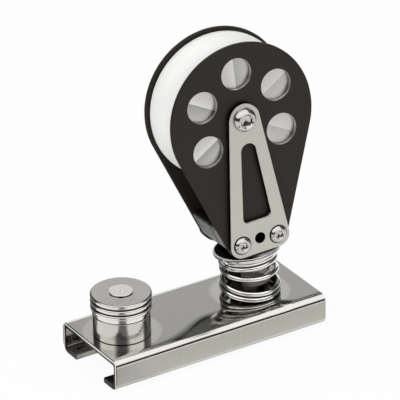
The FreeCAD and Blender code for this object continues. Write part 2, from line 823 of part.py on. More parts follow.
def make_bearing():
    race = new_body("inner_race", axle_place)
    section = new_sketch(race, "XZ_Plane")
    add_circle(section, "0", "0", "race_radius")
    add_circle(section, "0", "0", "axle_radius + set_gap")
    pad(race, section, "cheek_gap")

    radius = size("(bearing_bore_radius - race_radius) / 2 - running_gap")
    pitch = size("(bearing_bore_radius + race_radius) / 2")
    room = size("cheek_gap - (sheave_side_gap + side_plate_thickness) * 2")
    balls = []
    for row in range(BALL_ROWS):
        across = room * ((row + 0.5) / BALL_ROWS - 0.5)
        for step in range(BALLS_PER_ROW):
            angle = math.tau * (step + row / BALL_ROWS) / BALLS_PER_ROW
            centre = Vector(pitch * math.cos(angle), across, pitch * math.sin(angle))
            balls.append(Part.makeSphere(radius, centre))
    new_shape("bearing_balls", Part.makeCompound(balls), axle_place)


def make_axle():
    body = new_body("axle", axle_place)
    end, bore = "(cheek_gap / 2 + cheek_thickness)", "axle_screw_radius + set_gap"
    depth = f"({end} - axle_screw_length)"
    section = new_sketch(body, "YZ_Plane")
    add_outline(section, [
        (f"0 - {end}", bore),
        (f"0 - {depth}", bore),
        (f"0 - {depth}", "0"),
        (depth, "0"),
        (depth, bore),
        (end, bore),
        (end, "axle_radius"),
        (f"0 - {end}", "axle_radius"),
    ])
    turn(body, section, "H_Axis")


def make_screw(body, head_radius, head_height, shank_radius, shank_length, flats):
    """Button head on the near side of a shank, with a hexagon socket that opens in a cone."""
    crown, mouth = f"({head_radius} * screw_crown_share)", f"({flats} * socket_mouth_share)"
    floor = f"({head_height} * (socket_depth_share - 1))"
    section = new_sketch(body, "YZ_Plane")
    add_outline(section, [
        (shank_length, "0"),
        (shank_length, shank_radius),
        ("0", shank_radius),
        ("0", head_radius),
        ("0 - screw_rim_height", head_radius, f"{head_radius} * screw_arc_share"),
        (f"0 - {head_height}", crown),
        (f"0 - {head_height}", mouth),
        (f"{mouth} - {flats} / 2 - {head_height}", f"{flats} / 2"),
        (floor, f"{flats} / 2"),
        (f"{floor} + {flats} * socket_point_share", "0"),
    ])
    turning = turn(body, section, "H_Axis")
    socket = new_sketch(body, "XZ_Plane", f"{head_height} * (1 - socket_depth_share)")
    add_outline(socket, hexagon(flats))
    return [turning, pocket(body, socket, reverse=True)]


def strap_face(side):
    """Outside of a strap, facing out."""
    shift = size("cheek_gap / 2 + cheek_thickness + strap_thickness") * side
    return offset(y=shift) * (turned(UPWARD, 180) if side > 0 else Placement())


def make_axle_screw(label, side):
    body = new_body(label, axle_place * strap_face(side))
    make_screw(body, "axle_head_radius", "axle_head_height", "axle_screw_radius",
               "axle_screw_length + strap_thickness - seat_gap", "axle_socket_flats")


def make_foot_screws(label, side):
    corner = offset(-size("foot_screw_spread"), size("ring_depth"), -size("foot_screw_drop"))
    body = new_body(label, axle_place * strap_face(side) * corner)
    features = make_screw(body, "foot_head_radius", "foot_head_height", "foot_screw_radius",
                          "foot_screw_length", "foot_socket_flats")
    pair = body.newObject("PartDesign::LinearPattern", label + "_pair")
    pair.Originals = features
    pair.Direction = (origin_part(body, "X_Axis"), [""])
    pair.Occurrences = 2
    pair.setExpression("Length", bound("foot_screw_spread * 2"))
    body.Tip = pair


make_slider_body()
make_plunger_housing()
make_plunger_knob()
make_plunger_pin()
make_plunger_spring()
make_base_clevis()
make_toggle_block()
make_joint_pins()
make_swivel_stem()
make_spring_washer()
make_stem_nut()
make_stand_up_spring()
make_head_block()
make_sheave()
make_bearing()
make_axle()
for name, side in (("front", -1), ("rear", 1)):
    make_cheek(f"{name}_cheek", side)
    make_strap(f"{name}_strap", side)
    make_side_plate(f"sheave_plate_{name}", side)
    make_axle_screw(f"axle_screw_{name}", side)
    make_foot_screws(f"{name}_head_screws", side)
doc.recompute()

for item in doc.Objects:
    if "Invalid" in item.State or "Error" in item.State:
        raise RuntimeError(f"{item.Label} failed: {item.State}")
for node in nodes:
    if node.Shape.isNull() or not node.Shape.isValid():
        raise RuntimeError(f"{node.Label} has no valid shape")

os.makedirs("parts", exist_ok=True)
for node in nodes:
    node.Shape.exportStep(f"parts/{node.Label}.step")
    print(f"{node.Label}: {len(node.Shape.Solids)} solid, {node.Shape.Volume:.1f} mm3")
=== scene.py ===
import functools
import json
import math

import bpy
import numpy as np
from bpy.props import FloatProperty, FloatVectorProperty, IntProperty, PointerProperty
from mathutils import Matrix, Vector


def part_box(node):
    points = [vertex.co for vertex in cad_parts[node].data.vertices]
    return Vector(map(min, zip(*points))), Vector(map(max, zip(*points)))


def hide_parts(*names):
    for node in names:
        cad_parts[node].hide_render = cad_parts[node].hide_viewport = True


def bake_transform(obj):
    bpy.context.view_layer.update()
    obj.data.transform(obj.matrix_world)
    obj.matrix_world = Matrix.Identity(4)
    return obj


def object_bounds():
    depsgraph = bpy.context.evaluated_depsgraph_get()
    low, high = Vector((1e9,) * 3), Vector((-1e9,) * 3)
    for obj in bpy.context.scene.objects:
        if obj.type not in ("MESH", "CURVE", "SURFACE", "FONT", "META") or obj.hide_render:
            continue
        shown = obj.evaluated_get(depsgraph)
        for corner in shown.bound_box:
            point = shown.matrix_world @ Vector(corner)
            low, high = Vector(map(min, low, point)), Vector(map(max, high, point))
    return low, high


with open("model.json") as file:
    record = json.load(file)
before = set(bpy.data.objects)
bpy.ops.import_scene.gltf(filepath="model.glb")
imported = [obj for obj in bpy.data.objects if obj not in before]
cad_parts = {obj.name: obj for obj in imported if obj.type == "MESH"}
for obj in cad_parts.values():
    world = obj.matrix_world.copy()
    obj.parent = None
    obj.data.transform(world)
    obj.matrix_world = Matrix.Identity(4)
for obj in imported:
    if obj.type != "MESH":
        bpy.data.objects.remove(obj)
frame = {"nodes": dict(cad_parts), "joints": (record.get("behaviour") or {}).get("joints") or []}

cad_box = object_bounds()

# Track car with a stand-up block: its spring, its finishes and a plain studio.
# Lengths are in metres. X runs along the track, Y across it and Z up.
bl_info = {
    "name": "Track car with a stand-up block",
    "version": (1, 0, 0),
    "blender": (4, 5, 0),
    "location": "3D View > Sidebar > Track car",
    "description": "Spring, finishes and studio of a track car with a stand-up block",
    "category": "Object",
}

MILLIMETRE = 0.001

# The picture's view: how far the camera stands round the car, how far it looks down, and pixels across
VIEW_TURN = math.radians(-31.64)
VIEW_RISE = math.radians(27.645)
PICTURE_WIDTH = 400

# Sizes for the finishes, in millimetres. Those of the block are measured from the axle's middle.
WINDOW_ANGLES = tuple(math.radians(turn) for turn in (-30, 30, 90, 150, 210))
WINDOW_PITCH = 17.9
WINDOW_RADIUS = 6.1
STRAP_FACE = 13.3
STRAP_WINDOW_FOOT = -40.8
STRAP_WINDOW_HALF_WIDTH = 8.0
FOOT_SCREW_SPREAD = 7.6
FOOT_SCREW_DROP = 49.2
FOOT_SEAT_RADIUS = 3.7
CROSS_HOLE_DROP = 48.3
CROSS_HOLE_RADIUS = 2.4
HEAD_TOP = -40.4
HEAD_SHADE_TOP = -51.0
SEAM_SHIFT = 3.8

# Where the near edge of the car's top is rolled down, from the side wall: start, steeper part and end.
# Then the depth and half width of the painted highlight along the middle of the sheet's cut end.
ROLL_START = 4.9
ROLL_STEEP = 3.9
ROLL_END = 2.6
END_HIGHLIGHT_DEPTH = 0.75
END_HIGHLIGHT_HALF_WIDTH = 0.3

# Top of the washer over the pivot, and the inside of its rim, which is painted bright as a highlight
WASHER_TOP = 10.65
WASHER_RIM = 12.15

# Top of the knob over the plate, radius and foot of its ridges, and radius of the pin's head
KNOB_TOP = 16.9
RIDGE_RADIUS = 11.65
RIDGE_FOOT = 10.6
PIN_HEAD_RADIUS = 4.5

# Pitch of the rings that a lathe leaves
LATHE_PITCH = 0.16
DISC_PITCH = 0.25

# Place round the wire, from its inner side, that is left brightest as a painted highlight
LIT_SIDE = math.radians(152)

# Places read from the frame
JOINTS = {joint["name"]: joint for joint in frame["joints"]}
UPWARD = np.array([0.0, 0.0, 1.0])
PIVOT = np.array(JOINTS["tilt_athwart"]["pos_m"])
STEM_AXIS = np.array(JOINTS["block_swivel"]["axis"])
AXLE_POINT = np.array(JOINTS["sheave_spin"]["pos_m"])
AXLE_AXIS = np.array(JOINTS["sheave_spin"]["axis"])
PLATE_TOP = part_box("slider_body")[1].z
CAR_HALF_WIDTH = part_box("slider_body")[1].y
CAR_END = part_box("slider_body")[0].x
HOUSING_LOW, HOUSING_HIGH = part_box("plunger_housing")
PLUNGER_X = (HOUSING_LOW.x + HOUSING_HIGH.x) / 2
ACROSS_BLOCK = np.cross(AXLE_AXIS, STEM_AXIS)

# Directions towards the camera, and level ones to the front and the right of the studio
TOWARDS_CAMERA = np.array([
    math.sin(VIEW_TURN) * math.cos(VIEW_RISE), -math.cos(VIEW_TURN) * math.cos(VIEW_RISE), math.sin(VIEW_RISE),
])
TOWARDS_FRONT = (math.sin(VIEW_TURN), -math.cos(VIEW_TURN), 0.0)
TOWARDS_RIGHT = (math.cos(VIEW_TURN), math.sin(VIEW_TURN), 0.0)


def axes(across, along, up, place):
    """Matrix that takes a piece's own coordinates to the car's."""
    turn = Matrix([list(row) for row in np.array([across, along, up]).T]).to_4x4()
    return Matrix.Translation(Vector(place)) @ turn


# The block's own frame: across its width, along the axle and up the stem, from the axle's middle.
# The stem's frame has the same directions, and starts at the pivot.
BLOCK_FRAME = axes(ACROSS_BLOCK, AXLE_AXIS, STEM_AXIS, AXLE_POINT)
STEM_FRAME = axes(ACROSS_BLOCK, AXLE_AXIS, STEM_AXIS, PIVOT)
PLUNGER_FRAME = Matrix.Translation((PLUNGER_X, 0, PLATE_TOP))
CAR_FRAME = Matrix.Identity(4)


def length(name, about, default):
    """Property for a length in metres."""
    return FloatProperty(name=name, description=about, default=default, min=0, unit="LENGTH", subtype="DISTANCE",
                         precision=5)


def colour(name, about, default):
    """Property for a colour."""
    return FloatVectorProperty(name=name, description=about, default=default, min=0, max=1, size=3,
                               subtype="COLOR")


def amount(name, about, default):
    """Property for a number without a unit."""
    return FloatProperty(name=name, description=about, default=default, min=0, soft_max=2)


class TrackCarFinishes(bpy.types.PropertyGroup):
    """Colours of the metals and plastics."""

    polished: colour("Polished sheet", "Mirror finish of the car's folded plate", (0.62, 0.61, 0.585))
    turned: colour("Turned steel", "Housing and stop pin", (0.60, 0.585, 0.55))
    knob: colour("Knob", "Turned steel of the pull knob", (0.80, 0.77, 0.735))
    pin: colour("Pin head", "Faced end of the stop pin", (0.95, 0.93, 0.88))
    seam: colour("Seam", "Dark joints and shaded recesses", (0.018, 0.015, 0.012))
    strap: colour("Strap steel", "Satin finish of the two straps", (0.585, 0.57, 0.515))
    wire: colour("Spring wire", "Stand-up spring and plunger spring", (0.82, 0.81, 0.78))
    # The joint colour is painted shade: the joint parts inside the spring take it, and it darkens the stem's fork,
    # the channel's inside and the spring's turns where they face each other.
    joint: colour("Joint steel", "Oiled parts of the universal joint", (0.13, 0.12, 0.105))
    screw: colour("Screw steel", "Button heads", (0.56, 0.55, 0.52))
    side_plate: colour("Wheel side plate", "Turned discs behind the windows", (0.66, 0.65, 0.63))
    cheek: colour("Cheek", "Black satin coat of the two cheeks", (0.0165, 0.0115, 0.0075))
    bare_rim: colour("Window wall", "Bare metal on the windows' walls", (0.66, 0.65, 0.63))
    head: colour("Head block", "Bare aluminium between the cheeks", (0.42, 0.42, 0.41))
    wheel: colour("Wheel", "White plastic of the wheel", (0.91, 0.91, 0.90))
    brushed_roughness: amount("Brushed roughness", "Roughness of the car's brushed side walls", 0.36)
    polished_roughness: amount("Polished roughness", "Roughness of the car's mirror finish", 0.10)


class TrackCarSpring(bpy.types.PropertyGroup):
    """Sizes of the stand-up spring."""

    wire_radius: length("Wire radius", "Half the thickness of the wire", 0.0010)
    coil_radius: length("Coil radius", "From the spring's axis to the wire's middle", 0.0104)
    foot_coil_radius: length("Foot coil radius", "The same on the two lowest turns", 0.0108)
    coil_gap: length("Coil gap", "Clear space between the closed turns", 0.00015)
    seat_gap: length("Seat gap", "Clear space under the first and over the last turn", 0.00005)
    end_rise: length("End rise", "Climb of the first half turn at each end", 0.0003)
    middle_height: length("Middle height", "Height over the plate where the open turns cross", 0.0093)
    washer_height: length("Washer height", "From the pivot to the washer's underside", 0.00905)
    last_turn: FloatProperty(name="Last turn", description="How far the last half turn goes round",
                             default=math.radians(100), min=0, max=math.pi, subtype="ANGLE")


class TrackCarPlungerSpring(bpy.types.PropertyGroup):
    """Sizes of the spring inside the plunger's housing."""

    wire_radius: length("Wire radius", "Half the thickness of the wire", 0.00045)
    coil_radius: length("Coil radius", "From the spring's axis to the wire's middle", 0.0040)
    foot: length("Foot", "Height of the foot over the plate, on the pin's collar", 0.0016)
    top: length("Top", "Height of the top over the plate, under the housing's roof", 0.01275)
    turns: IntProperty(name="Turns", description="Turns of the wire", default=6, min=1)


class TrackCarStudio(bpy.types.PropertyGroup):
    """Camera, floor and lamps."""

    azimuth: FloatProperty(name="Azimuth", description="Where the camera stands round the car",
                           default=VIEW_TURN, subtype="ANGLE")
    elevation: FloatProperty(name="Elevation", description="How far the camera looks down",
                             default=VIEW_RISE, subtype="ANGLE")
    roll: FloatProperty(name="Roll", description="Turn of the picture about its middle",
                        default=math.radians(-1.051), subtype="ANGLE")
    distance: length("Distance", "From the camera to the point it aims at", 1.5722)
    target: FloatVectorProperty(name="Aim", description="Point in the middle of the picture",
                                default=(0.00323, 0, 0.0471), size=3, unit="LENGTH", subtype="TRANSLATION")
    focal_pixels: amount("Focal length in pixels", "Of a square picture 400 pixels wide", 4212.3)
    floor: colour("Floor", "Pale floor", (0.95, 0.95, 0.95))
    floor_radius: length("Floor radius", "Half the width of the round floor", 3.0)


# Meshes
def new_piece(name, points, faces, sharp=math.radians(35)):
    """Piece from an array of points and a list of faces, smooth but for edges over the sharp angle."""
    mesh = bpy.data.meshes.new(name)
    mesh.from_pydata(points.tolist(), [], faces)
    mesh.polygons.foreach_set("use_smooth", np.ones(len(mesh.polygons), bool))
    mesh.set_sharp_from_angle(angle=sharp)
    mesh.update()
    piece = bpy.data.objects.new(name, mesh)
    bpy.context.scene.collection.objects.link(piece)
    return piece


def ring_quads(index):
    """Quads between neighbouring rings, from an array with one row of point numbers for each ring."""
    after = np.roll(index, -1, axis=1)
    return np.stack([index[:-1], after[:-1], after[1:], index[1:]], axis=-1).reshape(-1, 4)


def tube_faces(rings, around):
    """Faces of a closed tube, with one flat face over each end."""
    index = np.arange(rings * around).reshape(rings, around)
    return ring_quads(index).tolist() + [index[0, ::-1].tolist(), index[-1].tolist()]


def round_sheet(name, points, closed_ring):
    """Piece from points in rings, an array of rings x around x 3, with one ring closed by a flat face."""
    index = np.arange(points.shape[0] * points.shape[1]).reshape(points.shape[:2])
    quads = ring_quads(index)[:, ::-1]
    return new_piece(name, points.reshape(-1, 3), quads.tolist() + [index[closed_ring].tolist()])


def sweep(name, path, radial, binormal, wire_radius, around=20, end_share=0.9):
    """Round wire along a path.

    Ring k is path[k] + wire_radius * (cos(a) * radial[k] + sin(a) * binormal[k]), with a going once round.
    The attribute "outward" is cos(a - lit side): 1 at the painted highlight, outside the coil and a little up.
    The two cut ends have a smaller flat face, so their edges are broken.
    """
    angles = np.linspace(0, math.tau, around, endpoint=False)[None, :, None]
    radii = np.full(len(path), wire_radius)
    path = np.concatenate([path[:1], path, path[-1:]])
    radial = np.concatenate([radial[:1], radial, radial[-1:]])
    binormal = np.concatenate([binormal[:1], binormal, binormal[-1:]])
    radii = np.concatenate([radii[:1] * end_share, radii, radii[-1:] * end_share])[:, None, None]
    rings = path[:, None] + radii * (np.cos(angles) * radial[:, None] + np.sin(angles) * binormal[:, None])
    piece = new_piece(name, rings.reshape(-1, 3), tube_faces(len(path), around))
    outward = piece.data.attributes.new("outward", "FLOAT", "POINT")
    outward.data.foreach_set("value", np.tile(np.cos(angles.ravel() - LIT_SIDE), len(path)))
    return piece


def unit(vectors):
    """The same directions, each one long."""
    return vectors / np.linalg.norm(vectors, axis=-1, keepdims=True)


# Materials
class Value:
    """Output of a node. Arithmetic on it adds Math nodes, or Vector Math and Mix nodes where it says so."""

    def __init__(self, graph, socket):
        self.graph = graph
        self.socket = socket

    def maths(self, operation, *inputs):
        return self.graph.node("ShaderNodeMath", {"operation": operation}, dict(enumerate(inputs)))

    def __add__(self, other):
        return self.maths("ADD", self, other)

    def __radd__(self, other):
        return self.maths("ADD", other, self)

    def __sub__(self, other):
        return self.maths("SUBTRACT", self, other)

    def __rsub__(self, other):
        return self.maths("SUBTRACT", other, self)

    def __mul__(self, other):
        return self.maths("MULTIPLY", self, other)

    def __rmul__(self, other):
        return self.maths("MULTIPLY", other, self)

    def __truediv__(self, other):
        return self.maths("DIVIDE", self, other)

    def __neg__(self):
        return self.maths("MULTIPLY", self, -1.0)

    def size(self):
        return self.maths("ABSOLUTE", self)

    def root(self):
        return self.maths("SQRT", self)

    def least(self, other):
        return self.maths("MINIMUM", self, other)

    def most(self, other):
        return self.maths("MAXIMUM", self, other)

    def angle(self, other):
        """Angle of the point (self, other) round the origin."""
        return self.maths("ARCTAN2", other, self)

    def part(self):
        """What is left over a whole number."""
        return self.maths("FRACT", self)

    def power(self, exponent):
        return self.maths("POWER", self, exponent)

    def step(self, low, high):
        """0 below low and 1 above high, with a smooth ramp between; low may be over high."""
        if low > high:
            return 1.0 - self.step(high, low)
        return self.graph.node("ShaderNodeMapRange", {"interpolation_type": "SMOOTHSTEP"},
                               {"Value": self, "From Min": low, "From Max": high})

    def band(self, middle, half, soft):
        """1 within half of the middle, falling to 0 over soft."""
        return (self - middle).size().step(half + soft, half)


class Graph:
    """Nodes of one new material, or of a new world."""

    def __init__(self, name, kind="materials"):
        self.owner = getattr(bpy.data, kind).new(name)
        self.owner.use_nodes = True
        self.tree = self.owner.node_tree
        self.tree.nodes.clear()

    def node(self, kind, settings=None, inputs=None, output=0):
        """Add a node: its settings first, then numbers, colours or links for its inputs."""
        made = self.tree.nodes.new(kind)
        for setting, value in (settings or {}).items():
            setattr(made, setting, value)
        for key, value in (inputs or {}).items():
            socket = made.inputs[key]
            if isinstance(value, Value):
                self.tree.links.new(value.socket, socket)
            elif socket.type == "RGBA":
                socket.default_value = (*value, 1.0)
            else:
                socket.default_value = value
        return Value(self, made.outputs[output]) if made.outputs else None

    def place(self, piece_frame, stretch=(1.0, 1.0, 1.0)):
        """Object coordinates in millimetres, seen from the piece's own frame, then stretched."""
        coordinates = self.node("ShaderNodeTexCoord", output="Object")
        turn = piece_frame.to_euler()
        own = self.node("ShaderNodeMapping", {"vector_type": "TEXTURE"}, {
            "Vector": coordinates, "Location": piece_frame.translation, "Rotation": turn,
            "Scale": (MILLIMETRE,) * 3,
        })
        if stretch == (1.0, 1.0, 1.0):
            return own
        return self.node("ShaderNodeVectorMath", {"operation": "MULTIPLY"}, {0: own, 1: stretch})

    def split(self, vector):
        """The three parts of a vector."""
        made = self.node("ShaderNodeSeparateXYZ", inputs={"Vector": vector})
        return made, *(Value(self, made.socket.node.outputs[k]) for k in (1, 2))

    def noise(self, vector, scale, detail=2.0, roughness=0.5):
        return self.node("ShaderNodeTexNoise", inputs={
            "Vector": vector, "Scale": scale, "Detail": detail, "Roughness": roughness,
        })

    def mix(self, factor, first, second):
        """Colour between two colours or links."""
        return self.node("ShaderNodeMix", {"data_type": "RGBA"}, {0: factor, 6: first, 7: second}, output=2)

    def shade(self, tint, factor):
        """Colour times a value that varies over the surface."""
        return self.node("ShaderNodeVectorMath", {"operation": "SCALE"}, {0: tint, "Scale": factor})

    def bump(self, height, distance, below=None):
        """Normal bent by a height. The height times the distance is in metres."""
        inputs = {"Height": height, "Distance": distance}
        if below is not None:
            inputs["Normal"] = below
        return self.node("ShaderNodeBump", inputs=inputs)

    def surface(self, **inputs):
        """Principled shader on the output, with the inputs named in words."""
        named = {key.replace("_", " ").title().replace("Ior", "IOR"): value for key, value in inputs.items()}
        shader = self.node("ShaderNodeBsdfPrincipled", inputs=named)
        self.node("ShaderNodeOutputMaterial", inputs={"Surface": shader})
        return self.owner


def dress(material, *nodes):
    """Give CAD nodes a material."""
    for node in nodes:
        mesh = frame["nodes"][node].data
        mesh.materials.clear()
        mesh.materials.append(material)


def radius_of(across, along):
    """Distance from an axis, from two lengths square to it."""
    return (across * across + along * along).root()


def lathe_grain(graph, distance, level, pitch):
    """Uneven rings round a piece's axis, from the distance to it and the level along it."""
    rings = graph.node("ShaderNodeCombineXYZ", inputs={"X": distance / pitch, "Y": level / pitch})
    return graph.noise(rings, 1.0, 1.0)


def folded_sheet(finishes):
    """Mirror-polished top and fold, with side walls brushed from top to bottom.

    The near edge of the top is rolled down a little, more so in a wedge before the spring, and round the
    housing and the spring's foot the top is painted brighter, a painted reflection. The channel's inside is
    darkened with painted shade. The sheet's cut end is painted dark as shade, with a painted highlight along its
    middle.
    """
    graph = Graph("polished_folded_sheet")
    along, across, up = graph.split(graph.place(CAR_FRAME))
    half_width, plate_top, end = (size / MILLIMETRE for size in (CAR_HALF_WIDTH, PLATE_TOP, CAR_END))
    outside = across.size().step(half_width - 0.25, half_width - 0.1)
    # Painted shade: the channel's inside is darkened towards the joint colour.
    inside = across.size().step(half_width - 0.4, half_width - 0.7) * up.step(-0.4, -0.7)
    brushed = outside * up.step(-0.25, -0.75)
    fine = graph.noise(graph.place(CAR_FRAME, (9.0, 9.0, 0.35)), 1.0, 3.0, 0.6)
    cloudy = graph.noise(graph.place(CAR_FRAME, (0.35, 0.35, 0.35)), 1.0, 4.0, 0.6)

    near = (-across).least(half_width - ROLL_END)
    wedge = 9.0 * along.step(-34.0, 0.0).power(2.0) * along.step(36.0, 22.0)
    rolled = (near - (half_width - ROLL_START) + wedge).most(0.0)
    edge = (near - (half_width - ROLL_STEEP)).most(0.0)
    form = -(0.011 * rolled * rolled).most(0.10 * edge * edge)
    normal = graph.bump(fine * brushed, 0.00004, below=graph.bump(form, MILLIMETRE))

    # Painted reflection: the top is painted brighter in rings round the housing and the spring's foot.
    housing = radius_of(along - PLUNGER_X / MILLIMETRE, across).band(13.0, 1.0, 1.8)
    foot = radius_of(along - PIVOT[0] / MILLIMETRE, across).band(13.2, 1.0, 2.0)
    painted_sheen = housing.most(foot) * (1.0 - outside)
    shaded = brushed * (0.19 + 0.05 * up.step(-9.0, -1.0) + 0.26 * (0.5 - fine))
    depth = (half_width - across.size()).least(plate_top - up)
    # Painted shade on the sheet's cut end, with a painted highlight along its middle.
    cut = along.step(end + 0.2, end + 0.05)
    end_highlight = cut * depth.band(END_HIGHLIGHT_DEPTH, END_HIGHLIGHT_HALF_WIDTH, 0.1)
    tint = graph.mix(cloudy.step(0.35, 0.65), finishes.polished, (0.61, 0.60, 0.55))
    tint = graph.mix(brushed, tint, (0.60, 0.59, 0.53))
    tint = graph.mix(inside * 0.75, graph.shade(tint, 1.0 - shaded + 0.3 * painted_sheen), finishes.joint)
    tint = graph.mix(end_highlight, graph.mix(cut, tint, finishes.seam), (0.80, 0.79, 0.75))
    gloss = finishes.brushed_roughness - finishes.polished_roughness
    return graph.surface(base_color=tint, metallic=1.0 - 0.8 * end_highlight, normal=normal,
                         roughness=finishes.polished_roughness + brushed * gloss + cloudy * 0.03)


def stop_pin_steel(finishes):
    """Turned end of the stop pin, with a dark line of painted shade on its head's side, where it sits on the knob.
    """
    graph = Graph("stop_pin_steel")
    place = graph.place(PLUNGER_FRAME)
    across, along, up = graph.split(place)
    # Painted shade on the side of the pin's head, where it sits on the knob.
    line = radius_of(across, along).step(PIN_HEAD_RADIUS - 0.12, PIN_HEAD_RADIUS - 0.03)
    line = line * up.step(KNOB_TOP + 0.4, KNOB_TOP + 0.25)
    grain = graph.noise(place, 1.3, 4.0, 0.7)
    tint = graph.shade(finishes.pin, 0.75 + 0.4 * grain)
    return graph.surface(base_color=graph.mix(line, tint, finishes.seam), metallic=0.5, roughness=0.2,
                         normal=graph.bump(grain, 0.00001))


def knob_steel(finishes):
    """Turned steel with painted shade in the grooves between the ridges and a fine painted dark line near the top's
    edge.
    """
    graph = Graph("turned_knob_steel")
    place = graph.place(PLUNGER_FRAME)
    across, along, up = graph.split(place)
    distance = radius_of(across, along)
    grain = lathe_grain(graph, distance, up, LATHE_PITCH)
    cloudy = graph.noise(place, 0.4, 3.0)
    # Painted shade in the grooves between the ridges, and a painted dark line near the top's rounded edge.
    groove = distance.step(RIDGE_RADIUS - 0.2, RIDGE_RADIUS - 0.5) * up.step(RIDGE_FOOT, RIDGE_FOOT + 0.1)
    groove = 0.85 * groove * up.step(KNOB_TOP - 0.5, KNOB_TOP - 0.7)
    line = 0.7 * distance.band(RIDGE_RADIUS - 0.42, 0.1, 0.12) * up.step(KNOB_TOP - 0.3, KNOB_TOP - 0.15)
    tint = graph.shade(finishes.knob, 0.92 + 0.16 * cloudy)
    return graph.surface(base_color=graph.mix(groove.most(line), tint, finishes.seam), metallic=1.0,
                         roughness=0.13 + (grain - 0.5) * 0.1, normal=graph.bump(grain, 0.00001))


def housing_steel(finishes):
    """Steel turned in a lathe: fine rings of uneven depth, and a dark line at the foot."""
    graph = Graph("turned_housing_steel")
    place = graph.place(PLUNGER_FRAME)
    across, along, up = graph.split(place)
    grain = lathe_grain(graph, radius_of(across, along), up, LATHE_PITCH)
    cloudy = graph.noise(place, 0.4, 3.0)
    tint = graph.mix(up.step(0.35, 0.2), graph.shade(finishes.turned, 0.92 + 0.16 * cloudy), finishes.seam)
    return graph.surface(base_color=tint, metallic=1.0, roughness=0.13 + (grain - 0.5) * 0.12,
                         normal=graph.bump(grain, 0.00001))


def spring_wire(finishes):
    """Drawn wire with a painted highlight on the outside of the turns and painted shade where they face each other.
    """
    graph = Graph("spring_wire_steel")
    outward = graph.node("ShaderNodeAttribute", {"attribute_name": "outward"}, output="Fac")
    grain = graph.noise(graph.place(CAR_FRAME), 1.5, 3.0)
    tint = graph.shade(finishes.wire, 0.95 + 0.2 * grain)
    # Painted shade: the wire is darkened to the joint colour away from its lit side.
    return graph.surface(base_color=graph.mix(outward.step(0.8, 0.3), tint, finishes.joint), metallic=1.0,
                         roughness=0.05 + 0.06 * grain)


def washer_steel(finishes):
    """Polished washer, its top dished to the front, with painted shade on one side and a painted highlight on part
    of the front and on the rim.
    """
    graph = Graph("washer_steel")
    place = graph.place(STEM_FRAME)
    across, along, up = graph.split(place)
    grain = graph.noise(place, 1.5, 3.0)
    top = up.step(WASHER_TOP - 0.3, WASHER_TOP - 0.15)
    rim = radius_of(across, along).step(WASHER_RIM, WASHER_RIM + 0.15) * top
    # Painted shade on one side of the top, and a painted highlight on part of the front and on the rim.
    painted_dark_side = across.step(-3.0, -7.0) * top
    painted_highlight = (across.step(-3.0, 1.0) * along.step(-6.0, -7.0) * top).most(rim)
    tint = graph.shade(graph.mix(painted_highlight, finishes.polished, (0.95, 0.94, 0.92)), 0.95 + 0.3 * grain)
    dish = graph.bump(0.3 * (along + 6.0).least(0.0) * top, MILLIMETRE)
    return graph.surface(base_color=graph.mix(painted_dark_side * (1.0 - painted_highlight), tint, finishes.seam), metallic=1.0 - 0.9 * painted_highlight,
                         roughness=0.07, normal=graph.bump(grain, 0.000004, below=dish))


def stem_steel(finishes):
    """Polished shoulder of the stem with two painted reflections, over a fork darkened with painted shade."""
    graph = Graph("stem_steel")
    across, along, up = graph.split(graph.place(STEM_FRAME))
    # The two painted reflections sit on the side of the stem that faces the camera at rest.
    front_across, front_along = (float(axis @ TOWARDS_CAMERA) for axis in (ACROSS_BLOCK, AXLE_AXIS))
    towards, aside = front_along * along + front_across * across, front_along * across - front_across * along
    round_stem = towards.angle(aside)
    painted_glints = (0.5 * round_stem.band(-0.72, 0.16, 0.2)).most(round_stem.band(0.78, 0.1, 0.12))
    # Painted shade on the fork, in the joint colour.
    fork = up.step(1.0, 0.0)
    tint = graph.mix(painted_glints, (0.30, 0.29, 0.27), (0.95, 0.94, 0.91))
    return graph.surface(base_color=graph.mix(fork, tint, finishes.joint), metallic=0.6 - 0.4 * painted_glints,
                         roughness=0.12 + 0.2 * fork, normal=graph.bump(painted_glints, 0.0001))


def plain_metal(name, tint, roughness):
    """Polished metal with faint unevenness."""
    graph = Graph(name)
    grain = graph.noise(graph.place(CAR_FRAME), 1.5, 3.0)
    return graph.surface(base_color=graph.shade(tint, 0.9 + 0.2 * grain), metallic=1.0,
                         roughness=roughness + (grain - 0.5) * 0.08, normal=graph.bump(grain, 0.000006))


def black_coat(finishes):
    """Satin black anodising with a fine pebble, and bright bare metal on the windows' walls, which carry the
    painted light and shade of the spokes.
    """
    graph = Graph("black_anodised_plate")
    place = graph.place(BLOCK_FRAME)
    across, _, up = graph.split(place)
    fine = graph.noise(place, 3.0, 3.0, 0.6)
    cloudy = graph.noise(place, 0.12, 3.0)
    reaches = (radius_of(across - WINDOW_PITCH * math.cos(turn), up - WINDOW_PITCH * math.sin(turn))
               for turn in WINDOW_ANGLES)
    bare = functools.reduce(Value.least, reaches).step(WINDOW_RADIUS + 0.12, WINDOW_RADIUS + 0.06)
    coat = graph.shade(finishes.cheek, 0.85 + 0.3 * cloudy)
    # The windows' walls carry the painted light and shade of the spokes.
    wall = graph.shade(finishes.bare_rim, painted_spoke_light(across, up))
    return graph.surface(base_color=graph.mix(bare, coat, wall), metallic=bare,
                         roughness=0.46 + (cloudy - 0.5) * 0.1, specular_ior_level=0.32,
                         normal=graph.bump(fine, 0.000012))


